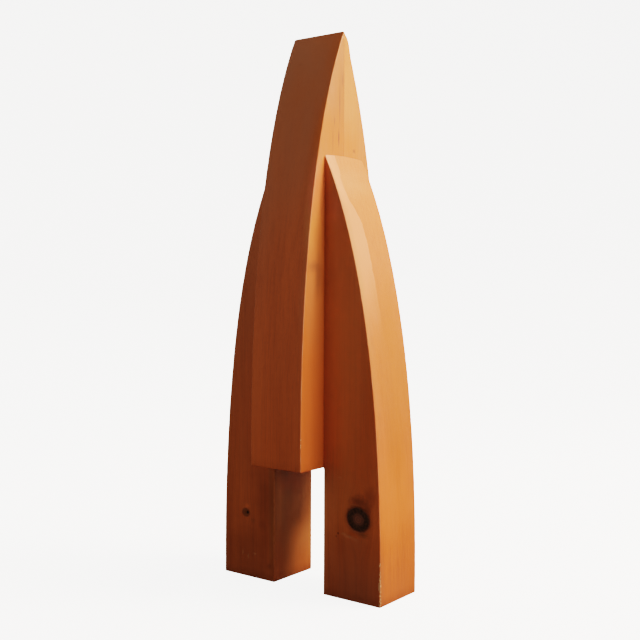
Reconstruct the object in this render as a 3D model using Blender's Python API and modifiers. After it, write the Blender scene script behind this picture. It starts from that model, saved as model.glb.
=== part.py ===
"""Timber abstract sculpture: four half-arch timber blocks glued into a fin on two legs.

Two blocks stand back to back as the tall fin, on the plane Y = 0. Two more are glued by
their flat faces to the fin's sides and dropped to the floor as legs. Metres, +Z up, with
the origin on the floor under the fin's centre.
"""

import math

import bpy

# Driving dimensions of the one block that every piece is made from.
BLOCK_LENGTH = 0.615
BLOCK_WIDTH = 0.0965
BLOCK_THICKNESS = 0.090
FIN_RAISE = 0.180
GLUE_GAP = 0.0003
ARRIS = 0.0008

# The bowed face is one cubic curve: it leaves the foot square to it and closes on the
# flat face at the tip. These are its two handles, as width and height on the block.
FOOT_HANDLE = (BLOCK_WIDTH, 0.077)
TIP_HANDLE = (0.102, 0.409)
BOW_STEPS = 28

# Linear base colours of the oiled softwood, one for each block.
WOODS = {
    "fin_front": (0.54, 0.28, 0.12),
    "fin_back": (0.60, 0.34, 0.15),
    "leg_right": (0.56, 0.29, 0.13),
    "leg_left": (0.50, 0.24, 0.11),
}
WOOD_ROUGHNESS = 0.55


def clear_scene():
    """Start from an empty scene."""
    for item in list(bpy.data.objects):
        bpy.data.objects.remove(item, do_unlink=True)


def wood(name, colour):
    """A plain Principled wood of the given linear colour."""
    material = bpy.data.materials.new(name)
    material.use_nodes = True
    shader = material.node_tree.nodes["Principled BSDF"]
    shader.inputs["Base Color"].default_value = (*colour, 1.0)
    shader.inputs["Roughness"].default_value = WOOD_ROUGHNESS
    shader.inputs["Metallic"].default_value = 0.0
    return material


def half_arch_outline(name):
    """The block's side: flat face on local X = 0, foot on Y = 0, bowed face toward +X."""
    curve = bpy.data.curves.new(name, "CURVE")
    curve.dimensions = "2D"
    curve.fill_mode = "BOTH"
    curve.extrude = BLOCK_THICKNESS / 2
    curve.resolution_u = BOW_STEPS

    spline = curve.splines.new("BEZIER")
    spline.bezier_points.add(2)
    spline.use_cyclic_u = True
    heel, toe, tip = spline.bezier_points
    heel.co = (0.0, 0.0, 0.0)
    toe.co = (BLOCK_WIDTH, 0.0, 0.0)
    tip.co = (0.0, BLOCK_LENGTH, 0.0)
    for point in (heel, toe, tip):
        point.handle_left_type = "VECTOR"
        point.handle_right_type = "VECTOR"
    toe.handle_right_type = "FREE"
    toe.handle_right = (*FOOT_HANDLE, 0.0)
    tip.handle_left_type = "FREE"
    tip.handle_left = (*TIP_HANDLE, 0.0)
    return curve


def block(name, collection, foot, heading):
    """One half-arch block, foot point given, bowed face turned to the heading (degrees)."""
    piece = bpy.data.objects.new(name, half_arch_outline(name))
    collection.objects.link(piece)
    piece.rotation_euler = (math.radians(90), 0.0, math.radians(heading))
    piece.location = foot
    piece.data.materials.append(wood(name + "_wood", WOODS[name]))

    weld = piece.modifiers.new("Close", "WELD")
    weld.merge_threshold = 0.00005
    arris = piece.modifiers.new("Eased arris", "BEVEL")
    arris.width = ARRIS
    arris.segments = 2
    arris.limit_method = "ANGLE"
    arris.angle_limit = math.radians(30)
    arris.harden_normals = True
    return piece


def build_fin(collection):
    """The two fin halves, back to back across the glue line on Y = 0."""
    half_gap = GLUE_GAP / 2
    block("fin_front", collection, (0.0, -half_gap, FIN_RAISE), -90)
    block("fin_back", collection, (0.0, half_gap, FIN_RAISE), 90)


def build_legs(collection):
    """The two legs, flat faces against the fin's sides and feet on the floor."""
    face = BLOCK_THICKNESS / 2 + GLUE_GAP
    block("leg_right", collection, (face, 0.0, 0.0), 0)
    block("leg_left", collection, (-face, 0.0, 0.0), 180)


def main():
    clear_scene()
    sculpture = bpy.data.collections.new("timber_abstract_sculpture")
    bpy.context.scene.collection.children.link(sculpture)
    build_fin(sculpture)
    build_legs(sculpture)


main()
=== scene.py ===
"""Timber abstract sculpture: the finished look of its four glued half-arch blocks.

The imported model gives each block's place and size. This file builds the same blocks again
with eased and worn edges, knots, nicks and a slightly uneven hand-planed surface, cut from
solid procedural timber whose growth rings run through every face, and sets them on a pale
studio floor.
"""

import math
from dataclasses import dataclass

import bmesh
import bpy
import numpy as np
from bpy.props import FloatProperty, FloatVectorProperty, IntProperty, PointerProperty
from mathutils import Euler, Matrix, Vector, noise


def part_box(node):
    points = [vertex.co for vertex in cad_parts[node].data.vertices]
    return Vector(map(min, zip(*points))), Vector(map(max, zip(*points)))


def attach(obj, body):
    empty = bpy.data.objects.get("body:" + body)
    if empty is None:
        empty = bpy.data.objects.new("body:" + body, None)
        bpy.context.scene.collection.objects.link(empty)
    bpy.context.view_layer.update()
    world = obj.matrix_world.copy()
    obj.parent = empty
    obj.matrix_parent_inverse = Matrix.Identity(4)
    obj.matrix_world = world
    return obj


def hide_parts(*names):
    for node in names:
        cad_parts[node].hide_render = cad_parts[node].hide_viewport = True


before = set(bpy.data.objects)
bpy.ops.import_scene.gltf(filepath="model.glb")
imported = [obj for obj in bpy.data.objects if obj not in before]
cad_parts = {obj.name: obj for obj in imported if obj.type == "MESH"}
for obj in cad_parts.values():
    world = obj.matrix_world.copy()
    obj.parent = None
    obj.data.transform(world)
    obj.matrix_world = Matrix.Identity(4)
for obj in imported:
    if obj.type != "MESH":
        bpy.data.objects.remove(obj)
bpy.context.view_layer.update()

bl_info = {
    "name": "Timber Sculpture",
    "version": (1, 0, 0),
    "blender": (4, 5, 0),
    "location": "View3D > Sidebar > Timber",
    "description": "Builds a sculpture of glued half-arch timber blocks in a plain studio",
    "category": "Add Mesh",
}

LEG_LOW, LEG_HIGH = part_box("leg_right")

MM = 0.001
SIDE = 45  # millimetres from a block's middle to either flat side
SKIN = 0.0001  # the finished block is this much thinner than the sawn solid
BOW_SKIN = 0.00015  # the finished bow stands this much inside the sawn one
PROUD = 0.00012  # the most that a worn surface may stand off it
FOOT_ROUND = 0.0007  # radius of the foot's rim
TIP_BEND = 0.020  # the stretch below the tip that its rubbed corners and crown bend
TIP_ZONE = 0.010  # the finely meshed stretch below the tip
ARRIS_WEAR = 0.00022  # depth that handling has rubbed off the bow's edges in places
STEP_GROWTH = 0.18  # how fast mesh steps grow with the distance from a fine zone
FAR_KNOT = 0.55  # size of a knot on the far side of its block

OIL_IOR = 1.48
OIL_SPECULAR = 0.38
COAT_ROUGHNESS = 0.32
PAPER_ROUGHNESS = 0.9
PAPER_SPECULAR = 0.1

FLOOR_CENTRE = 0.4
FLOOR_FLAT = 1.4
FLOOR_REACH = 5.4
WALL_HEIGHT = 5.0
WALL_STEPS = 32
FLOOR_TURNS = 96

LIGHT_AIM = (0.0, 0.0, 0.42)
LIGHT_DISTANCE = 2.6
SENSOR = 36.0
NEAREST_VIEW = 0.05


@dataclass(frozen=True)
class Knot:
    """A branch that crosses a block along its thickness. Millimetres on the block."""

    across: float
    up: float
    width: float
    height: float
    tilt: float
    face: int
    rim: tuple
    heart: tuple
    char: float
    crack: float
    eye: tuple = ()


@dataclass(frozen=True)
class Mark:
    """A soft elliptical mark on the wood: stains, nicks, and patches of painted light and shade.
    Millimetres on the block.
    """

    centre: tuple
    size: tuple
    colour: tuple
    strength: float
    depth: float = 0.0


@dataclass(frozen=True)
class Swell:
    """A place where the hand-cut bow stands fuller than the pattern. Millimetres and shares."""

    amount: float
    centre: float
    spread: float


@dataclass(frozen=True)
class Chip:
    """A run of splintered, dented or rubbed edge. Millimetres on the block."""

    side: int
    bow: bool
    up: float
    run: float
    depth: float
    reach: float = 1.5
    splintered: bool = True


@dataclass(frozen=True)
class Block:
    """One half-arch block: its node, the way its bow faces, and the log it was cut from."""

    node: str
    heading: float
    pith: tuple
    lean: tuple
    ring: float
    seed: float
    early: tuple
    late: tuple
    tip_colour: tuple
    tip_blend: float
    fade: tuple = (0.35, 1.05)  # shares of the height where the paler tip starts and is full
    tip: float = 0.0  # millimetres that the tip stands above its solid's
    crown: float = 0.0  # millimetres that the tip's middle stands above its corners
    bare: float = 0.0  # height in millimetres below which nothing is glued to the block
    glue: float = 0.13  # millimetres that the flat face reaches into its glue line
    # painted shade: share of its colour left at the foot, darkening it toward the floor
    foot_shade: float = 1.0
    # strength of a darker, mottled brown band over the lowest 16 mm
    foot_darkening: float = 0.20
    figure: float = 1.0  # strength of the growth rings and oiled streaks
    knots: tuple = ()
    marks: tuple = ()
    swells: tuple = ()
    chips: tuple = ()
    sapwood: bool = False


CHAR = (0.028, 0.013, 0.008)
BROWN = (0.052, 0.016, 0.007)
UMBER = (0.129, 0.033, 0.011)
RESIN = (0.447, 0.100, 0.015)
CREAM = (0.654, 0.328, 0.173)
ASHEN = (0.430, 0.200, 0.120)
AMBER = (0.680, 0.178, 0.052)
BLOND = (0.880, 0.275, 0.145)
OCHRE = (0.478, 0.116, 0.004)
WHEAT = (0.660, 0.235, 0.080)
RUSSET = (0.620, 0.155, 0.028)
ROSY = (0.660, 0.160, 0.072)
OLIVE = (0.198, 0.077, 0.023)
# dark brown of the painted shade at the legs' feet, and of a darker patch on the fin's lit side
DEEP_BROWN = (0.220, 0.078, 0.036)
HONEY = (0.420, 0.165, 0.055)
TAWNY = (0.510, 0.188, 0.060)
RAW = (0.800, 0.480, 0.270)
# pale arris colour: partly worn wood, partly a painted highlight
WORN_AND_HIGHLIGHT = (0.700, 0.300, 0.165)

FIN_FRONT = Block(
    node="fin_front",
    heading=-90,
    pith=(72, -78),
    lean=(0.012, -0.016),
    ring=4.4,
    seed=3.1,
    early=(0.568, 0.143, 0.039),
    late=(0.370, 0.082, 0.020),
    tip_colour=(0.500, 0.162, 0.052),
    tip_blend=0.95,
    figure=0.55,
    marks=(
        # A greyer, duller top of the bow: partly the wood's own tone, partly a painted reflection of
        # the light from above.
        Mark((60, -40, 540), (90, 80, 320), ASHEN, 0.52),
        Mark((18, -40, 610), (60, 75, 120), ASHEN, 0.75),
        Mark((45, 24, 560), (70, 29, 170), ASHEN, 0.42),
        Mark((96, -38, 90), (14, 16, 150), AMBER, 0.60),
        Mark((46, SIDE, 230), (40, 12, 320), WHEAT, 0.60),
        # Painted light: lightens the top of the strip beside the right leg, where the leg's shadow
        # falls.
        Mark((72, SIDE, 365), (26, 12, 75), WHEAT, 0.70),
        Mark((68, SIDE, 392), (28, 12, 52), ROSY, 0.75),
        # Painted light: lightens the strip's outer edge, away from the right leg's shadow.
        Mark((76, SIDE, 240), (24, 12, 90), CREAM, 0.20),
        Mark((4, SIDE, 520), (26, 10, 50), OCHRE, 0.30),
        Mark((14, SIDE, 455), (34, 10, 50), RUSSET, 0.70),
        Mark((46, SIDE, 472), (22, 12, 56), RUSSET, 0.50),
        Mark((36, SIDE, 468), (34, 12, 58), OCHRE, 0.28),
        Mark((70, SIDE, 90), (50, 14, 170), AMBER, 0.60),
        Mark((10, SIDE, 512), (1.2, 6, 36), UMBER, 0.62),
        Mark((2.8, SIDE, 545), (1.2, 6, 11), UMBER, 0.62),
        Mark((22.5, SIDE, 485), (1.2, 6, 9), UMBER, 0.50),
        Mark((12, SIDE, 463), (1.8, 6, 14), UMBER, 0.80),
        Mark((26, SIDE, 458), (1.2, 6, 20), UMBER, 0.42),
        Mark((6, SIDE, 545), (5, 6, 20), UMBER, 0.14),
        # A darker brown patch on the lit side beside the right leg.
        Mark((58, SIDE, 268), (11, 6, 34), DEEP_BROWN, 0.40),
        Mark((70, SIDE, 281), (16, 6, 9), DEEP_BROWN, 0.42),
        Mark((28, -18, 572), (12, 6, 3), BROWN, 0.22),
        Mark((48, -30, 525), (12, 4, 3), BROWN, 0.22),
    ),
    chips=(Chip(1, True, 40, 9, 0.4), Chip(-1, True, 330, 14, 0.4)),
)

FIN_BACK = Block(
    node="fin_back",
    heading=90,
    pith=(64, 80),
    lean=(-0.010, 0.014),
    ring=5.0,
    seed=11.7,
    early=(0.576, 0.162, 0.048),
    late=(0.404, 0.095, 0.024),
    tip_colour=(0.630, 0.206, 0.066),
    tip_blend=0.90,
    marks=(
        Mark((12, -SIDE, 512), (30, 10, 60), WHEAT, 0.30),
        Mark((12, -SIDE, 450), (38, 10, 40), RUSSET, 0.60),
        Mark((25, -SIDE, 448), (4.2, 6, 3.4), BROWN, 0.42),
    ),
    swells=(Swell(3.8, 0.978, 0.026),),
    chips=(Chip(-1, True, 190, 12, 0.4),),
)

LEG_RIGHT = Block(
    node="leg_right",
    heading=0,
    pith=(57, 74),
    lean=(-0.014, 0.010),
    ring=4.2,
    seed=23.9,
    foot_shade=0.84,
    foot_darkening=0.45,
    early=(0.556, 0.138, 0.036),
    late=(0.370, 0.078, 0.018),
    tip_colour=(0.655, 0.188, 0.062),
    tip_blend=0.85,
    fade=(0.50, 1.0),
    tip=2.2,
    crown=2.0,
    bare=180,
    glue=0.30,
    knots=(
        Knot(
            across=59.4,
            up=115.4,
            width=39.5,
            height=34.0,
            tilt=-14,
            face=-1,
            rim=(0.100, 0.045, 0.024),
            heart=(0.215, 0.085, 0.050),
            char=0.55,
            crack=0.40,
        ),
    ),
    marks=(
        Mark((0, -SIDE, 320), (26, 14, 340), CREAM, 0.30),
        # Painted shade: the two tawny marks darken the upper front face and take some red out of the
        # light bounced onto it from the fin's lit side.
        Mark((30, -SIDE, 330), (66, 16, 300), TAWNY, 0.66),
        Mark((12, -SIDE, 540), (26, 14, 120), TAWNY, 0.62),
        Mark((14, -SIDE, 500), (34, 14, 110), UMBER, 0.20),
        Mark((50, -SIDE, 76), (70, 14, 34), UMBER, 0.16),
        # Painted shade: these two marks darken and grey the front face toward the floor.
        Mark((48, -SIDE, -6), (80, 18, 100), DEEP_BROWN, 0.36),
        Mark((62, -SIDE, 14), (62, 14, 84), ASHEN, 0.22),
        Mark((61, -SIDE, 139), (18, 10, 12), UMBER, 0.66),
        Mark((75, -SIDE, 130), (9, 8, 13), UMBER, 0.55),
        Mark((81, -SIDE, 148), (15, 8, 16), UMBER, 0.32),
        Mark((68, -SIDE, 95), (12, 8, 5.5), OLIVE, 0.60),
        Mark((50, -SIDE, 94), (11, 6, 4), RESIN, 0.50),
        Mark((36, -SIDE, 91.5), (7, 6, 2.8), CREAM, 0.22, 0.2),
        Mark((45, -SIDE, 89), (9, 6, 2.8), CREAM, 0.26, 0.2),
        Mark((54, -SIDE, 86.5), (7, 6, 2.4), CREAM, 0.15, 0.2),
        Mark((25.5, -SIDE, 91), (2.4, 6, 2.0), BROWN, 0.50, 0.4),
        Mark((22.5, -SIDE, 86.5), (2.0, 6, 1.8), BROWN, 0.36, 0.3),
        Mark((56, -SIDE, 134.6), (13, 6, 1.4), CREAM, 0.12),
        Mark((28.5, -SIDE, 169.5), (4.5, 6, 2), CREAM, 0.16, 0.2),
        Mark((98, 0, 140), (18, 70, 75), AMBER, 0.75),
        Mark((98, 0, 6), (12, 70, 70), BLOND, 0.15),
        Mark((96, 4, 175), (20, 7, 50), RESIN, 0.35),
        Mark((84, 14, 340), (34, 62, 230), OCHRE, 0.75),
        Mark((20, -6, 578), (36, 50, 26), CREAM, 0.16),
        Mark((14, -40, 580), (36, 15, 66), BLOND, 0.75),
        Mark((14, -46.5, 580), (40, 5, 72), HONEY, 0.88),
        Mark((10, -46.5, 555), (34, 5, 62), UMBER, 0.34),
    ),
    chips=(
        Chip(-1, True, 20, 26, 1.2, 1.9),
        Chip(-1, True, 58, 4, 0.7),
        Chip(1, True, 250, 16, 0.4),
    ),
    sapwood=True,
)

LEG_LEFT = Block(
    node="leg_left",
    heading=180,
    pith=(50, -82),
    lean=(0.011, -0.009),
    ring=4.6,
    seed=37.3,
    foot_shade=0.84,
    foot_darkening=0.45,
    early=(0.525, 0.142, 0.041),
    late=(0.344, 0.077, 0.019),
    tip_colour=(0.500, 0.172, 0.068),
    tip_blend=0.75,
    figure=0.62,
    bare=180,
    glue=0.30,
    knots=(
        Knot(
            across=54.4,
            up=95.6,
            width=14.5,
            height=12.0,
            tilt=6,
            face=1,
            rim=(0.250, 0.084, 0.027),
            heart=(0.200, 0.064, 0.020),
            char=0.15,
            crack=0.12,
            eye=(-3.4, 0.6, 3.2),
        ),
    ),
    marks=(
        # Painted shade: darkens the front face toward the floor.
        Mark((48, SIDE, -6), (80, 18, 100), DEEP_BROWN, 0.34),
        Mark((0, 26, 100), (12, 60, 130), HONEY, 0.80),
        Mark((0, -26, 116), (10, 34, 34), WHEAT, 0.60),
        Mark((0, -36, 62), (10, 38, 50), WHEAT, 0.65),
        # Painted shade: darkens the front lower part of the inner face, which lies in shadow.
        Mark((0, 32, 44), (10, 26, 78), UMBER, 0.40),
        # Painted light: lightens the inner face just under the fin, where it lies in deep shadow.
        Mark((0, 0, 148), (10, 34, 26), AMBER, 0.52),
        Mark((56, SIDE, 52), (60, 12, 26), UMBER, 0.14),
        Mark((52, SIDE, 105.5), (5.5, 8, 4.5), AMBER, 0.60),
        Mark((40, SIDE, 85), (5.5, 8, 4.5), OLIVE, 0.22),
        Mark((8, SIDE, 118), (44, 12, 88), UMBER, 0.50),
        Mark((84, SIDE, 80), (22, 12, 90), UMBER, 0.16),
        Mark((23, SIDE, 80), (10, 6, 12), UMBER, 0.16),
        Mark((9.5, SIDE, 22), (6, 6, 5), UMBER, 0.26),
        Mark((61, SIDE, 35), (1.4, 6, 5.5), CREAM, 0.30, 0.3),
        Mark((50, SIDE, 30.5), (1.4, 6, 4.5), CREAM, 0.35, 0.3),
        Mark((37, SIDE, 36), (3.4, 6, 2.2), CREAM, 0.35, 0.3),
    ),
    swells=(Swell(2.5, 0.78, 0.30),),
    chips=(
        Chip(1, False, 71, 3.5, 0.7, splintered=False),
        Chip(1, False, 33, 3.5, 0.6, splintered=False),
        Chip(-1, True, 120, 12, 0.4),
    ),
)


# ---------------------------------------------------------------- settings


class BlockSettings(bpy.types.PropertyGroup):
    """The pattern that all four blocks are sawn to, and how their edges are finished."""

    width: FloatProperty(
        name="Width",
        description="From the flat glued face to the widest point of the bow",
        default=round(LEG_HIGH.x - LEG_LOW.x - BOW_SKIN, 5),
        unit="LENGTH",
    )
    thickness: FloatProperty(
        name="Thickness",
        description="Between the two flat sides",
        default=round(LEG_HIGH.y - LEG_LOW.y - SKIN, 5),
        unit="LENGTH",
    )
    foot_handle: FloatProperty(
        name="Foot handle",
        description="How far the bow runs up almost straight from the foot",
        default=0.077,
        unit="LENGTH",
    )
    tip_handle_width: FloatProperty(
        name="Tip handle width",
        description="Width at the curve handle that aims the bow at the tip",
        default=0.102,
        unit="LENGTH",
    )
    tip_handle_height: FloatProperty(
        name="Tip handle height",
        description="Height of that handle above the foot",
        default=0.409,
        unit="LENGTH",
    )
    arris: FloatProperty(
        name="Arris",
        description="Radius of the eased outer edges",
        default=0.0013,
        unit="LENGTH",
    )
    glued_arris: FloatProperty(
        name="Glued arris",
        description="Radius of the crisp edges beside a glue line",
        default=0.00022,
        unit="LENGTH",
    )
    bare_arris: FloatProperty(
        name="Bare arris",
        description="Radius of the legs' inner edges below the fin, where nothing is glued",
        default=0.0021,
        unit="LENGTH",
    )
    blunt: FloatProperty(
        name="Blunt",
        description="How much of the feather tip is sanded away",
        default=0.0005,
        unit="LENGTH",
    )
    tip_corner: FloatProperty(
        name="Tip corner",
        description="Radius of the feather tip's two rubbed corners",
        default=0.0030,
        unit="LENGTH",
    )
    wave: FloatProperty(
        name="Wave",
        description="Height of the slow unevenness left by hand planing",
        default=0.00010,
        unit="LENGTH",
    )
    coarse: FloatProperty(
        name="Coarse step",
        description="Mesh spacing on plain stretches",
        default=0.0032,
        unit="LENGTH",
    )
    fine: FloatProperty(
        name="Fine step",
        description="Mesh spacing round knots, chips and tips",
        default=0.0009,
        unit="LENGTH",
    )
    arc_steps: IntProperty(
        name="Arc steps",
        description="Faces round each eased edge",
        default=4,
        min=1,
    )


class TimberSettings(bpy.types.PropertyGroup):
    """The oiled softwood that every block is cut from."""

    sapwood: FloatVectorProperty(
        name="Sapwood",
        description="Colour of the pale band along one edge of the right leg",
        default=(0.710, 0.246, 0.122),
        subtype="COLOR",
        size=3,
    )
    oil: FloatVectorProperty(
        name="Oiled streak",
        description="Colour of the darker, oil-soaked streaks",
        default=(0.361, 0.077, 0.019),
        subtype="COLOR",
        size=3,
    )
    roughness: FloatProperty(
        name="Roughness",
        description="Roughness of the satin oil finish",
        default=0.47,
        subtype="FACTOR",
    )
    sheen_coat: FloatProperty(
        name="Oil coat",
        description="Strength of the thin clear coat that the oil leaves",
        default=0.07,
        subtype="FACTOR",
    )
    ring_depth: FloatProperty(
        name="Ring contrast",
        description="How dark the late wood of each growth ring is",
        default=0.16,
        subtype="FACTOR",
    )


class StageSettings(bpy.types.PropertyGroup):
    """Camera, floor and lights."""

    camera_place: FloatVectorProperty(
        name="Camera place",
        description="Where the camera stands",
        default=(0.8822, -1.1523, 0.4467),
        subtype="TRANSLATION",
        size=3,
    )
    camera_turn: FloatProperty(
        name="Camera heading",
        description="Heading of the view, turned left from the Y axis",
        default=math.radians(37.325),
        subtype="ANGLE",
    )
    camera_pitch: FloatProperty(
        name="Camera pitch",
        description="How far the view dips below level",
        default=math.radians(2.451),
        subtype="ANGLE",
    )
    camera_roll: FloatProperty(
        name="Camera roll",
        description="Turn of the camera about its own view",
        default=math.radians(0.214),
        subtype="ANGLE",
    )
    lens: FloatProperty(
        name="Lens",
        description="Focal length on a 36 mm sensor, in millimetres",
        default=56.08,
        unit="CAMERA",
    )
    floor: FloatVectorProperty(
        name="Floor",
        description="Colour of the floor and backdrop",
        default=(0.80, 0.79, 0.77),
        subtype="COLOR",
        size=3,
    )
    floor_shade: FloatProperty(
        name="Floor shade",
        description="Share of its colour with which the floor takes light and shadow",
        default=0.60,
        subtype="FACTOR",
        min=0.0,
        max=1.0,
    )
    floor_glow: FloatProperty(
        name="Floor glow",
        description="Light that keeps the backdrop near white",
        default=3.2,
    )
    light: FloatVectorProperty(
        name="Light",
        description="Colour of the warm light on the right",
        default=(1.0, 0.84, 0.68),
        subtype="COLOR",
        size=3,
    )
    room: FloatVectorProperty(
        name="Room colour",
        description="Colour of the weak light from the rest of the room",
        default=(1.0, 0.95, 0.88),
        subtype="COLOR",
        size=3,
    )
    window: FloatProperty(
        name="Window",
        description="Power of the big low light on the right, in watts",
        default=42.0,
        unit="POWER",
    )
    sun_patch: FloatProperty(
        name="Sun patch",
        description="Power of the small high light that throws the soft shadows, in watts",
        default=66.0,
        unit="POWER",
    )
    skylight: FloatProperty(
        name="Skylight",
        description="Power of the big high light behind the right side, in watts",
        default=95.0,
        unit="POWER",
    )
    front_fill: FloatProperty(
        name="Front fill",
        description="Power of the weak light in front, in watts",
        default=14.8,
        unit="POWER",
    )
    left_fill: FloatProperty(
        name="Left fill",
        description="Power of the weak light on the left, in watts",
        default=9.8,
        unit="POWER",
    )
    back_fill: FloatProperty(
        name="Back fill",
        description="Power of the low light behind, in watts",
        default=19.0,
        unit="POWER",
    )
    back_left_fill: FloatProperty(
        name="Back left fill",
        description="Power of the soft light behind the left side, in watts",
        default=30.0,
        unit="POWER",
    )
    world: FloatProperty(
        name="Room light",
        description="Strength of the even light of the room",
        default=0.040,
    )


class SculptureSettings(bpy.types.PropertyGroup):
    """All settings of the sculpture and its studio."""

    block: PointerProperty(
        type=BlockSettings,
        name="Block",
        description="The pattern of the blocks and the finish of their edges",
    )
    timber: PointerProperty(
        type=TimberSettings,
        name="Timber",
        description="The oiled softwood",
    )
    stage: PointerProperty(
        type=StageSettings,
        name="Studio",
        description="Camera, floor and lights",
    )


# ---------------------------------------------------------------- block meshes


def bow_table(pattern, length, steps=400):
    """Heights and widths along the bowed face: one cubic curve from foot to tip."""
    t = np.linspace(0.0, 1.0, steps)
    foot, near_foot = (1 - t) ** 3, 3 * (1 - t) ** 2 * t
    near_tip, tip = 3 * (1 - t) * t**2, t**3
    width = pattern.width * (foot + near_foot) + pattern.tip_handle_width * near_tip
    height = pattern.foot_handle * near_foot + pattern.tip_handle_height * near_tip + length * tip
    return height, width


def swell_at(swells, share):
    """How much fuller the bow stands at this share of the height."""
    total = 0.0
    for swell in swells:
        total += swell.amount * MM * math.exp(-(((share - swell.centre) / swell.spread) ** 2))
    return total * min(1.0, (1.0 - share) / 0.012)


def graded(start, stop, coarse, fine, zones):
    """Positions from start to stop, close together inside the zones (centre, reach)."""
    places = [start]
    while places[-1] < stop:
        here = places[-1]
        away = min((max(0.0, abs(here - centre) - reach) for centre, reach in zones), default=1.0)
        places.append(here + min(coarse, fine + STEP_GROWTH * away))
    scale = (stop - start) / (places[-1] - start)
    return [start + (place - start) * scale for place in places]


def arc(centre, radius, start, steps):
    """Points and outward directions of a quarter turn, start angle in degrees."""
    points = []
    for step in range(steps + 1):
        angle = math.radians(start + 90 * step / steps)
        out = (math.cos(angle), math.sin(angle))
        points.append((centre[0] + radius * out[0], centre[1] + radius * out[1], out))
    return points


def section(width, pattern, across, through, inset, inner, glue):
    """One closed cross-section: a rectangle with flat-face edges of one radius, bow edges eased.

    The flat face stands out by the glue, so that no light shows through a glue line.
    """
    half = pattern.thickness / 2 - inset
    inner = min(inner, width * 0.4)
    outer = min(pattern.arris, width * 0.4)
    low, high = inset - glue, width - inset
    steps = pattern.arc_steps
    front = [(low + inner + (high - outer - low - inner) * s, -half, (0, -1)) for s in across]
    bow = [(high, (half - outer) * s, (1, 0)) for s in through]
    back = [(low + inner + (high - outer - low - inner) * s, half, (0, 1)) for s in reversed(across)]
    flat = [(low, (half - inner) * s, (-1, 0)) for s in reversed(through)]
    ring = front + arc((high - outer, -half + outer), outer, -90, steps)[1:-1]
    ring += bow + arc((high - outer, half - outer), outer, 0, steps)[1:-1]
    ring += back + arc((low + inner, half - inner), inner, 90, steps)[1:-1]
    ring += flat + arc((low + inner, -half + inner), inner, 180, steps)[1:-1]
    return ring


def knot_relief(knot, x, z, side):
    """Depth of a knot's shrunken ring and open crack where it meets a flat side."""
    size = 1.0 if side == knot.face else FAR_KNOT
    tilt = math.radians(knot.tilt)
    dx, dz = x / MM - knot.across, z / MM - knot.up
    along = (dx * math.cos(tilt) + dz * math.sin(tilt)) / (knot.width / 2 * size)
    up = (-dx * math.sin(tilt) + dz * math.cos(tilt)) / (knot.height / 2 * size)
    reach = math.hypot(along, up)
    crack = knot.crack * math.exp(-(((reach - 0.97) / 0.06) ** 2))
    sunk = 0.35 * knot.crack * (1 - min(1.0, max(0.0, (reach - 0.90) / 0.10)))
    proud = 0.25 * knot.crack * math.exp(-((reach / 0.35) ** 2))
    return (proud - crack - sunk) * MM


def mark_relief(mark, x, y, z):
    """Depth of a nick at this point."""
    if not mark.depth:
        return 0.0
    reach = 0.0
    for value, centre, size in zip((x, y, z), mark.centre, mark.size):
        reach += ((value / MM - centre) / size) ** 2
    return -mark.depth * MM * math.exp(-reach * 1.5)


def chip_bite(chip, x, y, z, width, half):
    """Depth, in millimetres, that a chip has taken off the edge at this point."""
    edge_x = width if chip.bow else 0.0
    away = math.hypot(x - edge_x, y - chip.side * half) / MM
    run = (z / MM - chip.up) / chip.run
    bite = chip.depth * math.exp(-((away / chip.reach) ** 2) - run**4)
    if chip.splintered:
        teeth = noise.noise(Vector((chip.up + x / (3 * MM), y / (1.4 * MM), z / (2.6 * MM))))
        bite *= min(1.0, max(0.0, 0.45 + 1.6 * teeth))
    return bite


def relief(block, pattern, point, out, width):
    """How far the finished surface stands off the sawn block, and how torn it is, 0 to 1."""
    x, y, z = point
    half = pattern.thickness / 2
    slow = Vector((x / 0.055, y / 0.055, z / 0.130)) + Vector((block.seed,) * 3)
    depth = pattern.wave * noise.noise(slow)
    if out[0] > 0.5:
        depth += 0.6 * pattern.wave * noise.noise(Vector((block.seed, y / 0.2, z / 0.028)))
    on_edge = 0.2 < abs(out[0]) < 0.98
    if on_edge and out[0] > 0:
        wear = noise.noise(Vector((y * 40, block.seed, z / 0.014)))
        depth -= ARRIS_WEAR * max(0.0, wear + 0.25)
    if abs(out[1]) > 0.9:
        side = 1 if out[1] > 0 else -1
        depth += sum(knot_relief(knot, x, z, side) for knot in block.knots)
    depth += sum(mark_relief(mark, x, y, z) for mark in block.marks)
    bites = [chip_bite(chip, x, y, z, width, half) for chip in block.chips]
    depth -= sum(bites) * MM
    torn = [bite for bite, chip in zip(bites, block.chips) if chip.splintered]
    return min(depth, PROUD), min(1.0, sum(torn) / 0.30)


def tip_lift(block, pattern, share):
    """How far the feather tip stands above or below its line, across the block, -1 to 1."""
    corner = pattern.tip_corner / (pattern.thickness / 2)
    past = min(1.0, max(0.0, (abs(share) - 1 + corner) / corner))
    drop = pattern.tip_corner * (1 - math.sqrt(1 - past**2))
    return block.crown * MM * (1 - share**2) - drop


def flat_arris(block, pattern, z):
    """Radius of the flat face's edges: crisp beside a glue line, eased where a foot is bare."""
    free = min(1.0, max(0.0, (block.bare * MM - z) / 0.003))
    return pattern.glued_arris + (pattern.bare_arris - pattern.glued_arris) * free


def fine_zones(block, pattern):
    """Where the mesh has to be fine: up the block, across its sides and through it."""
    up = [(knot.up * MM, knot.height * MM * 0.75) for knot in block.knots]
    up += [(chip.up * MM, chip.run * MM) for chip in block.chips]
    up += [(mark.centre[2] * MM, mark.size[2] * MM) for mark in block.marks if mark.depth]
    across = [(knot.across * MM, knot.width * MM * 0.75) for knot in block.knots]
    across += [(pattern.width, 0.0), (0.0, 0.0)]
    through = [(-pattern.thickness / 2, 0.0), (pattern.thickness / 2, 0.0)]
    return up, across, through


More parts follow.
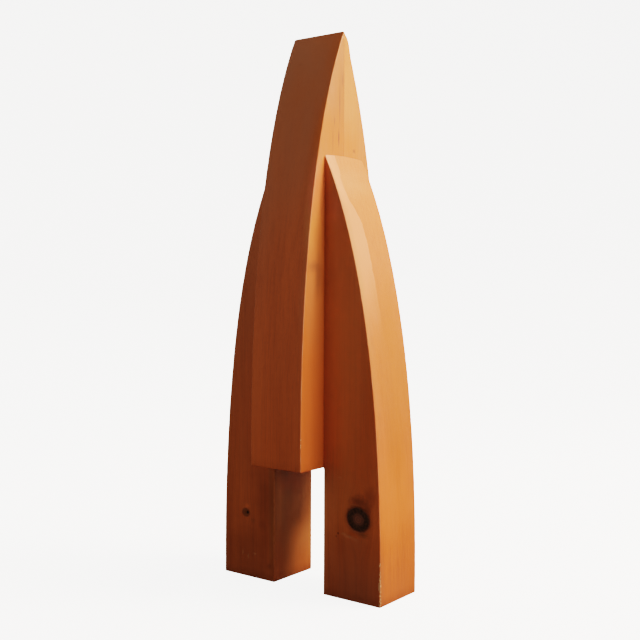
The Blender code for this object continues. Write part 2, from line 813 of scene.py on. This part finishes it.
def block_mesh(block, pattern, length):
    """The closed mesh of one block in its own axes: flat face x = 0, bow +x, foot z = 0."""
    length += block.tip * MM
    heights, widths = bow_table(pattern, length)
    top = length - pattern.blunt
    up_zones, across_zones, through_zones = fine_zones(block, pattern)
    up_zones += [(top, TIP_ZONE)]
    rim = np.linspace(0, math.pi / 2, 4)
    levels = [FOOT_ROUND * (1 - math.cos(a)) for a in rim]
    insets = [FOOT_ROUND * (1 - math.sin(a)) for a in rim]
    rows = graded(FOOT_ROUND, top, pattern.coarse, pattern.fine, up_zones)
    stations = list(zip(levels[:-1], insets[:-1])) + [(row, 0.0) for row in rows]

    span = pattern.width
    across = [p / span for p in graded(0.0, span, pattern.coarse, pattern.fine, across_zones)]
    half = pattern.thickness / 2
    through = [p / half for p in graded(-half, half, pattern.coarse, pattern.fine, through_zones)]

    verts, rings, rubbed, torn = [], [], [], []
    for z, inset in stations:
        width = float(np.interp(z, heights, widths)) + swell_at(block.swells, z / length)
        near_tip = max(0.0, 1 - (top - z) / TIP_BEND) ** 2
        bare = z < block.bare * MM
        ring = []
        inner = flat_arris(block, pattern, z)
        for x, y, out in section(width, pattern, across, through, inset, inner, block.glue * MM):
            rise, tear = relief(block, pattern, (x, y, z), out, width) if inset == 0.0 else (0.0, 0.0)
            ring.append(len(verts))
            lift = near_tip * tip_lift(block, pattern, y / half)
            verts.append((x + out[0] * rise, y + out[1] * rise, z + lift))
            # How pale the arris is painted: partly wear, partly a painted highlight, strongest on the
            # bow's edges.
            wear_and_highlight_share = 1.0 if out[0] > 0 else 0.5 * bare
            rubbed.append(2 * abs(out[0] * out[1]) * wear_and_highlight_share)
            torn.append(tear)
        rings.append(ring)

    faces = [tuple(reversed(rings[0]))]
    count = len(rings[0])
    for lower, upper in zip(rings, rings[1:]):
        for i in range(count):
            j = (i + 1) % count
            faces.append((lower[i], lower[j], upper[j], upper[i]))
    faces.append(tuple(rings[-1]))

    mesh = bpy.data.meshes.new(block.node + "_timber")
    mesh.from_pydata(verts, [], faces)
    mesh.shade_smooth()
    for cap in (0, len(faces) - 1):
        mesh.polygons[cap].use_smooth = False
    # The rubbed attribute carries the pale arrises: partly wear, partly a painted highlight.
    for name, values in (("rubbed", rubbed), ("torn", torn)):
        mesh.attributes.new(name, "FLOAT", "POINT").data.foreach_set("value", values)
    return mesh


def place_block(block, settings):
    """Build one block where its node lies, give it its timber and hand it to the frame."""
    low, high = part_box(block.node)
    length = high.z - low.z
    heading = math.radians(block.heading)
    bow = Vector((math.cos(heading), math.sin(heading), 0.0))
    reach = abs(bow.x) * (high.x - low.x) + abs(bow.y) * (high.y - low.y)
    foot = (low + high) / 2 - bow * (reach / 2)
    foot.z = low.z

    mesh = block_mesh(block, settings.block, length)
    piece = bpy.data.objects.new(block.node + "_timber", mesh)
    bpy.context.scene.collection.objects.link(piece)
    piece.matrix_world = Matrix.Translation(foot) @ Matrix.Rotation(heading, 4, "Z")
    mesh.materials.append(timber_material(block, settings, length))
    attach(piece, "root")
    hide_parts(block.node)


# ---------------------------------------------------------------- timber


class ShaderTree:
    """Short calls for adding and linking the nodes of one material."""

    def __init__(self, material):
        material.use_nodes = True
        self.tree = material.node_tree
        self.tree.nodes.clear()

    def add(self, kind, feeds=None, **settings):
        """One node with its settings made and its sockets fed."""
        node = self.tree.nodes.new(kind)
        for key, value in settings.items():
            setattr(node, key, value)
        for socket, value in (feeds or {}).items():
            self.feed(node.inputs[socket], value)
        return node

    def feed(self, socket, value):
        """Link an output into the socket, or set the socket's own value."""
        if isinstance(value, bpy.types.NodeSocket):
            self.tree.links.new(value, socket)
        else:
            socket.default_value = value

    def maths(self, operation, *values, clamp=False):
        """One Math node."""
        feeds = dict(enumerate(values))
        return self.add("ShaderNodeMath", feeds, operation=operation, use_clamp=clamp).outputs[0]

    def plus(self, *values):
        """The sum of several values."""
        total = values[0]
        for value in values[1:]:
            total = self.maths("ADD", total, value)
        return total

    def times(self, *values):
        """The product of several values."""
        total = values[0]
        for value in values[1:]:
            total = self.maths("MULTIPLY", total, value)
        return total

    def vector(self, x, y, z):
        """A vector from its three parts."""
        return self.add("ShaderNodeCombineXYZ", {0: x, 1: y, 2: z}).outputs[0]

    def ramp(self, value, low, high, to_low=0.0, to_high=1.0):
        """A smooth step from one value to another."""
        feeds = {0: value, 1: low, 2: high, 3: to_low, 4: to_high}
        return self.add("ShaderNodeMapRange", feeds, interpolation_type="SMOOTHSTEP").outputs[0]

    def noise(self, place, scale=1.0, detail=2.0, roughness=0.5):
        """Soft noise between about 0.2 and 0.8."""
        feeds = {"Vector": place, "Scale": scale, "Detail": detail, "Roughness": roughness}
        return self.add("ShaderNodeTexNoise", feeds).outputs[0]

    def mix(self, factor, first, second, blend="MIX"):
        """A blend of two colours."""
        first = (*first, 1.0) if isinstance(first, tuple) else first
        second = (*second, 1.0) if isinstance(second, tuple) else second
        feeds = {0: factor, 6: first, 7: second}
        node = self.add("ShaderNodeMix", feeds, data_type="RGBA", blend_type=blend)
        return node.outputs[2]


def knot_reach(tree, knot, x, y, z, thickness):
    """Distance from the knot's middle, 1 at its rim, shrinking toward the block's far side."""
    dx = tree.maths("SUBTRACT", x, knot.across)
    dz = tree.maths("SUBTRACT", z, knot.up)
    tilt = math.radians(knot.tilt)
    along = tree.plus(tree.times(dx, math.cos(tilt)), tree.times(dz, math.sin(tilt)))
    up = tree.plus(tree.times(dx, -math.sin(tilt)), tree.times(dz, math.cos(tilt)))
    along = tree.times(along, 2 / knot.width)
    up = tree.times(up, 2 / knot.height)
    inward = tree.ramp(tree.times(y, -knot.face), -thickness / 2, thickness / 2, 1.0, FAR_KNOT)
    reach = tree.maths("SQRT", tree.plus(tree.times(along, along), tree.times(up, up)))
    wobble = tree.noise(tree.vector(x, y, z), 0.22, 2.0)
    reach = tree.plus(reach, tree.times(tree.plus(wobble, -0.5), 0.13))
    return tree.maths("DIVIDE", reach, inward), dx, dz


def grain_past_knot(tree, knot, x, z):
    """Fibres part round a knot: the across coordinate is pulled toward the knot's middle."""
    dx = tree.maths("SUBTRACT", x, knot.across)
    dz = tree.times(tree.maths("SUBTRACT", z, knot.up), 0.48)
    square = tree.plus(tree.times(dx, dx), tree.times(dz, dz))
    radius = knot.width / 2
    share = tree.maths("DIVIDE", radius**2, tree.maths("MAXIMUM", square, radius**2))
    pull = tree.times(dx, tree.maths("POWER", share, 1.4), 0.8)
    return tree.maths("SUBTRACT", x, pull)


def knot_colour(tree, knot, colour, reach, dx, dz):
    """Paint a knot: crowded dark wood round it, a dark ring, and a red-brown heart."""
    crowd = tree.ramp(reach, 1.40, 1.0)
    colour = tree.mix(tree.times(crowd, 0.30), colour, UMBER)
    angle = tree.maths("ARCTAN2", dz, dx)
    rings = tree.ramp(tree.maths("SINE", tree.times(reach, 34.0)), -0.9, 0.9, 0.86, 1.08)
    heart = tree.mix(1.0, knot.heart, tree.vector(rings, rings, rings), "MULTIPLY")
    spoke = tree.noise(tree.vector(tree.times(angle, 2.4), tree.times(reach, 0.8), 0.0), 1.6, 1.0)
    check = tree.times(tree.ramp(spoke, 0.36, 0.31), tree.ramp(reach, 0.55, 0.30))
    heart = tree.mix(tree.times(check, 0.75), heart, knot.rim)
    charred = tree.noise(tree.vector(dx, dz, 0.0), 0.26, 2.0)
    ring = tree.mix(tree.ramp(charred, 0.40, 0.62, 0.0, knot.char), knot.rim, CHAR)
    rim = tree.mix(tree.ramp(reach, 0.20, 0.64), heart, ring)
    if knot.eye:
        away_x, away_z = tree.plus(dx, -knot.eye[0]), tree.plus(dz, -knot.eye[1])
        away = tree.maths("SQRT", tree.plus(tree.times(away_x, away_x), tree.times(away_z, away_z)))
        rim = tree.mix(tree.ramp(away, knot.eye[2], 0.3 * knot.eye[2]), rim, CHAR)
    return tree.mix(tree.ramp(reach, 1.14, 0.84), colour, rim)


def mark_mask(tree, mark, place):
    """Soft ellipse of a mark (a stain, a nick, or a patch of painted light and shade), broken a
    little by noise.
    """
    centre = Vector(mark.centre)
    shifted = tree.add("ShaderNodeVectorMath", {0: place, 1: centre}, operation="SUBTRACT")
    size = Vector((1 / mark.size[0], 1 / mark.size[1], 1 / mark.size[2]))
    scaled = tree.add(
        "ShaderNodeVectorMath", {0: shifted.outputs[0], 1: size}, operation="MULTIPLY"
    )
    reach = tree.add("ShaderNodeVectorMath", {0: scaled.outputs[0]}, operation="LENGTH")
    ragged = tree.times(tree.plus(tree.noise(scaled.outputs[0], 1.7, 2.0), -0.5), 0.8)
    return tree.ramp(tree.plus(reach.outputs[1], ragged), 1.25, 0.05, 0.0, mark.strength)


def growth_rings(tree, block, x, y, z):
    """Ring profile: 0 in early wood, rising to 1 in late wood, then a sharp step back."""
    sway = tree.noise(tree.vector(x, y, tree.times(z, 0.22)), 0.018, 2.0)
    u = tree.plus(x, -block.pith[0], tree.times(z, block.lean[0]), tree.times(sway, 9.0))
    v = tree.plus(y, -block.pith[1], tree.times(z, block.lean[1]))
    radius = tree.maths("SQRT", tree.plus(tree.times(u, u), tree.times(v, v)))
    stretch = tree.noise(tree.vector(tree.times(radius, 0.06), block.seed, 0.0), 1.0, 1.0)
    count = tree.plus(tree.times(radius, 1 / block.ring), tree.times(stretch, 5.0))
    share = tree.maths("FRACT", count)
    rise = tree.ramp(share, 0.30, 0.90)
    drop = tree.ramp(share, 0.99, 0.93)
    whole = tree.maths("FLOOR", count)
    year = tree.add("ShaderNodeTexWhiteNoise", {"W": whole}, noise_dimensions="1D")
    return tree.times(rise, drop), year.outputs[0]


def timber_colour(tree, block, timber, x, y, z, length):
    """Oiled softwood: rings, fibres, streaks and a paler tip. Also gives the fibre heights."""
    late, year = growth_rings(tree, block, x, y, z)
    fibre = tree.noise(tree.vector(x, y, tree.times(z, 0.030)), 1.25, 3.0, 0.6)
    strand = tree.noise(tree.vector(x, y, tree.times(z, 0.022)), 0.24, 2.0, 0.55)
    broad = tree.noise(tree.vector(x, y, tree.times(z, 0.10)), 0.030, 2.0, 0.5)

    depth = tree.times(tree.ramp(year, 0.0, 1.0, 0.55, 1.2), timber.ring_depth * block.figure)
    colour = tree.mix(tree.times(late, depth), block.early, block.late)
    streak = tree.times(tree.ramp(strand, 0.52, 0.74), 0.24 * block.figure)
    colour = tree.mix(streak, colour, tuple(timber.oil))
    tone = tree.plus(
        tree.ramp(fibre, 0.28, 0.72, -0.055, 0.055),
        tree.ramp(strand, 0.25, 0.75, 0.04, -0.04),
        tree.ramp(broad, 0.25, 0.75, -0.07, 0.07),
        1.0,
    )
    colour = tree.mix(1.0, colour, tree.vector(tone, tone, tone), "MULTIPLY")

    start, full = block.fade
    tip = tree.ramp(z, length * start, length * full, 0.0, block.tip_blend)
    faded = tree.times(tip, tree.ramp(strand, 0.25, 0.75, 1.05, 0.80))
    colour = tree.mix(faded, colour, block.tip_colour)
    pore_place = tree.vector(x, y, tree.times(z, 0.055))
    pores = tree.ramp(tree.noise(pore_place, 2.4, 0.0), 0.70, 0.78)
    colour = tree.mix(tree.times(pores, 0.25), colour, UMBER)
    return colour, late, fibre, pores


def sapwood_band(tree, colour, timber, x, y, z, thickness):
    """A pale band of sapwood along one edge of the bow, narrowing toward the tip."""
    edge = tree.plus(
        tree.ramp(z, 515.0, 575.0, -7.0, -28.0),
        tree.ramp(z, 580.0, 612.0, 0.0, 5.0),
    )
    ragged = tree.times(tree.plus(tree.noise(tree.vector(x, y, z), 0.05, 2.0), -0.5), 9.0)
    inside = tree.maths("SUBTRACT", tree.plus(edge, ragged), y)
    band = tree.times(
        tree.ramp(inside, -1.2, 1.2),
        tree.ramp(z, 330.0, 500.0),
        tree.ramp(y, -thickness / 2, -thickness / 2 + 0.8),
    )
    return tree.mix(tree.times(band, 0.85), colour, tuple(timber.sapwood))


def worn_and_highlit_edges(tree, colour, place):
    """Arrises painted pale, partly by wear from handling and partly as a painted highlight on their
    rounded edge, and raw wood where splinters have broken away.
    """
    rubbed = tree.add("ShaderNodeAttribute", attribute_name="rubbed").outputs["Fac"]
    torn = tree.add("ShaderNodeAttribute", attribute_name="torn").outputs["Fac"]
    patchy = tree.ramp(tree.noise(place, 0.045, 3.0), 0.35, 0.62, 0.22, 0.75)
    colour = tree.mix(tree.times(tree.ramp(rubbed, 0.15, 0.95), patchy), colour, WORN_AND_HIGHLIGHT)
    return tree.mix(tree.ramp(torn, 0.25, 1.0, 0.0, 0.9), colour, RAW)


def timber_material(block, settings, length):
    """The timber of one block, as one solid log texture in the block's own axes."""
    timber = settings.timber
    thickness = settings.block.thickness / MM
    material = bpy.data.materials.new(block.node + "_wood")
    tree = ShaderTree(material)

    coords = tree.add("ShaderNodeTexCoord").outputs["Object"]
    scaled = tree.add("ShaderNodeVectorMath", {0: coords, 3: 1 / MM}, operation="SCALE")
    split = tree.add("ShaderNodeSeparateXYZ", {0: scaled.outputs[0]})
    x, y, z = split.outputs
    bent = x
    for knot in block.knots:
        bent = grain_past_knot(tree, knot, bent, z)
    colour, late, fibre, pores = timber_colour(tree, block, timber, bent, y, z, length / MM)
    if block.sapwood:
        colour = sapwood_band(tree, colour, timber, x, y, z, thickness)

    for mark in block.marks:
        mask = mark_mask(tree, mark, scaled.outputs[0])
        colour = tree.mix(mask, colour, mark.colour)
    for knot in block.knots:
        reach, dx, dz = knot_reach(tree, knot, x, y, z, thickness)
        colour = knot_colour(tree, knot, colour, reach, dx, dz)
    colour = worn_and_highlit_edges(tree, colour, scaled.outputs[0])

    normal = tree.add("ShaderNodeNewGeometry").outputs["Normal"]
    facing = tree.add("ShaderNodeSeparateXYZ", {0: normal}).outputs[2]
    end_grain = tree.ramp(tree.maths("ABSOLUTE", facing), 0.12, 0.95, 0.0, 0.55)
    colour = tree.mix(end_grain, colour, UMBER)
    # Painted shade: the colour darkens over the lowest 95 mm toward the foot.
    shade = tree.ramp(z, 0.0, 95.0, block.foot_shade, 1.0)
    colour = tree.mix(1.0, colour, tree.vector(shade, shade, shade), "MULTIPLY")
    # A darker, mottled brown band over the lowest 16 mm.
    foot_darkening = tree.times(tree.ramp(z, 16.0, 0.0), tree.noise(scaled.outputs[0], 0.12, 3.0))
    colour = tree.mix(tree.times(foot_darkening, block.foot_darkening), colour, BROWN)

    height = tree.plus(
        tree.times(late, 0.016), tree.times(fibre, 0.028), tree.times(pores, -0.035)
    )
    bump = tree.add("ShaderNodeBump", {"Strength": 1.0, "Distance": MM, "Height": height})
    gloss = tree.plus(
        tree.ramp(fibre, 0.25, 0.75, timber.roughness + 0.07, timber.roughness - 0.05),
        tree.times(late, -0.05),
        tree.times(end_grain, 0.25),
    )
    shader = tree.add(
        "ShaderNodeBsdfPrincipled",
        {
            "Base Color": colour,
            "Roughness": gloss,
            "Normal": bump.outputs[0],
            "IOR": OIL_IOR,
            "Specular IOR Level": OIL_SPECULAR,
            "Coat Weight": timber.sheen_coat,
            "Coat Roughness": COAT_ROUGHNESS,
        },
    )
    output = tree.add("ShaderNodeOutputMaterial")
    tree.feed(output.inputs["Surface"], shader.outputs[0])
    return material


# ---------------------------------------------------------------- stage


def studio_bowl(stage):
    """A round floor that curves up into a wall on every side, ever more steeply."""
    profile = [(FLOOR_CENTRE, 0.0), (FLOOR_FLAT, 0.0)]
    for step in range(1, WALL_STEPS + 1):
        share = step / WALL_STEPS
        radius = FLOOR_FLAT + (FLOOR_REACH - FLOOR_FLAT) * share**0.62
        profile.append((radius, WALL_HEIGHT * share**2))
    mesh = bpy.data.meshes.new("studio_floor")
    bm = bmesh.new()
    rings = []
    for radius, height in profile:
        ring = []
        for turn in range(FLOOR_TURNS):
            angle = math.tau * turn / FLOOR_TURNS
            ring.append(bm.verts.new((radius * math.cos(angle), radius * math.sin(angle), height)))
        rings.append(ring)
    bm.faces.new(rings[0])
    for lower, upper in zip(rings, rings[1:]):
        for i in range(FLOOR_TURNS):
            j = (i + 1) % FLOOR_TURNS
            bm.faces.new((lower[i], lower[j], upper[j], upper[i]))
    bmesh.ops.recalc_face_normals(bm, faces=bm.faces)
    bm.to_mesh(mesh)
    bm.free()
    mesh.shade_smooth()
    floor = bpy.data.objects.new("studio_floor", mesh)
    bpy.context.scene.collection.objects.link(floor)
    floor.visible_diffuse = False
    floor.visible_glossy = False

    material = bpy.data.materials.new("studio_paper")
    tree = ShaderTree(material)
    shader = tree.add(
        "ShaderNodeBsdfPrincipled",
        {
            "Base Color": (*(stage.floor_shade * part for part in stage.floor), 1.0),
            "Roughness": PAPER_ROUGHNESS,
            "Specular IOR Level": PAPER_SPECULAR,
            "Emission Color": (*stage.floor, 1.0),
            "Emission Strength": stage.floor_glow,
        },
    )
    output = tree.add("ShaderNodeOutputMaterial")
    tree.feed(output.inputs["Surface"], shader.outputs[0])
    mesh.materials.append(material)


def soft_light(name, place, aim, size, power, colour):
    """A square area light at a place, turned to face a point."""
    data = bpy.data.lights.new(name, "AREA")
    data.shape = "SQUARE"
    data.size = size
    data.energy = power
    data.color = colour
    light = bpy.data.objects.new(name, data)
    bpy.context.scene.collection.objects.link(light)
    light.location = place
    turn = (Vector(aim) - Vector(place)).to_track_quat("-Z", "Y")
    light.rotation_euler = turn.to_euler()
    light.visible_camera = False
    return light


def around(azimuth, elevation, distance, centre):
    """A place at this heading from the X axis, height angle and distance."""
    a, e = math.radians(azimuth), math.radians(elevation)
    out = Vector((math.cos(a) * math.cos(e), math.sin(a) * math.cos(e), math.sin(e)))
    return Vector(centre) + out * distance


def set_lights(stage):
    """A soft window and skylight on the right, with weak fills in front and behind."""
    sun, room = tuple(stage.light), tuple(stage.room)
    for name, azimuth, elevation, size, power, colour in (
        ("window", 0, 8, 1.6, stage.window, sun),
        ("sun_patch", 30, 46, 0.7, stage.sun_patch, sun),
        ("skylight", 36, 55, 2.0, stage.skylight, sun),
        ("front_fill", -100, 10, 2.0, stage.front_fill, room),
        ("left_fill", -155, 10, 2.0, stage.left_fill, room),
        ("back_fill", 52, 8, 1.6, stage.back_fill, room),
        ("back_left_fill", 140, 35, 2.0, stage.back_left_fill, room),
    ):
        place = around(azimuth, elevation, LIGHT_DISTANCE, LIGHT_AIM)
        light = soft_light(name, place, LIGHT_AIM, size, power, colour)
        light.visible_glossy = name in {"window", "skylight", "sun_patch", "back_fill"}

    world = bpy.data.worlds.new("room")
    world.use_nodes = True
    shade = world.node_tree.nodes["Background"]
    shade.inputs["Color"].default_value = (*stage.room, 1.0)
    shade.inputs["Strength"].default_value = stage.world
    bpy.context.scene.world = world


def set_camera(stage):
    """The camera, level but for a slight dip, with the whole sculpture in view."""
    data = bpy.data.cameras.new("camera")
    data.lens = stage.lens
    data.sensor_width = SENSOR
    data.clip_start = NEAREST_VIEW
    camera = bpy.data.objects.new("camera", data)
    bpy.context.scene.collection.objects.link(camera)
    camera.location = stage.camera_place
    upright = Euler((math.radians(90) - stage.camera_pitch, 0.0, stage.camera_turn)).to_matrix()
    roll = Matrix.Rotation(stage.camera_roll, 3, "Z")
    camera.rotation_euler = (upright @ roll).to_euler()
    bpy.context.scene.camera = camera


# ---------------------------------------------------------------- operators


class TIMBER_OT_fin(bpy.types.Operator):
    """Build the two halves of the tall fin, back to back across their glue line."""

    bl_idname = "timber.fin"
    bl_label = "Build fin"

    def execute(self, context):
        for block in (FIN_FRONT, FIN_BACK):
            place_block(block, context.scene.timber_sculpture)
        return {"FINISHED"}


class TIMBER_OT_legs(bpy.types.Operator):
    """Build the two legs, glued to the sides of the fin and standing on the floor."""

    bl_idname = "timber.legs"
    bl_label = "Build legs"

    def execute(self, context):
        for block in (LEG_RIGHT, LEG_LEFT):
            place_block(block, context.scene.timber_sculpture)
        return {"FINISHED"}


class TIMBER_OT_stage(bpy.types.Operator):
    """Set up the pale floor, the soft lights and the camera."""

    bl_idname = "timber.stage"
    bl_label = "Set up studio"

    def execute(self, context):
        stage = context.scene.timber_sculpture.stage
        studio_bowl(stage)
        set_lights(stage)
        set_camera(stage)
        context.scene.view_settings.view_transform = "Filmic"
        context.scene.view_settings.look = "High Contrast"
        return {"FINISHED"}


class TIMBER_PT_panel(bpy.types.Panel):
    """Buttons and settings of the sculpture."""

    bl_idname = "TIMBER_PT_panel"
    bl_label = "Timber sculpture"
    bl_space_type = "VIEW_3D"
    bl_region_type = "UI"
    bl_category = "Timber"

    def draw(self, context):
        settings = context.scene.timber_sculpture
        for title, group in (
            ("Block", settings.block),
            ("Timber", settings.timber),
            ("Studio", settings.stage),
        ):
            box = self.layout.box()
            box.label(text=title)
            for name in group.bl_rna.properties.keys():
                if name not in {"rna_type", "name"}:
                    box.prop(group, name)
        for operator in (TIMBER_OT_fin, TIMBER_OT_legs, TIMBER_OT_stage):
            self.layout.operator(operator.bl_idname)


CLASSES = (
    BlockSettings,
    TimberSettings,
    StageSettings,
    SculptureSettings,
    TIMBER_OT_fin,
    TIMBER_OT_legs,
    TIMBER_OT_stage,
    TIMBER_PT_panel,
)


def register():
    for cls in CLASSES:
        bpy.utils.register_class(cls)
    bpy.types.Scene.timber_sculpture = PointerProperty(
        type=SculptureSettings,
        name="Timber sculpture",
        description="Sizes, colours and studio of the timber sculpture",
    )


def unregister():
    del bpy.types.Scene.timber_sculpture
    for cls in reversed(CLASSES):
        bpy.utils.unregister_class(cls)


def write_sizes():
    """Bring the scene's placements up to date."""
    bpy.context.view_layer.update()


def main():
    register()
    bpy.ops.timber.fin()
    bpy.ops.timber.legs()
    bpy.ops.timber.stage()
    write_sizes()


if __name__ == "__main__":
    main()
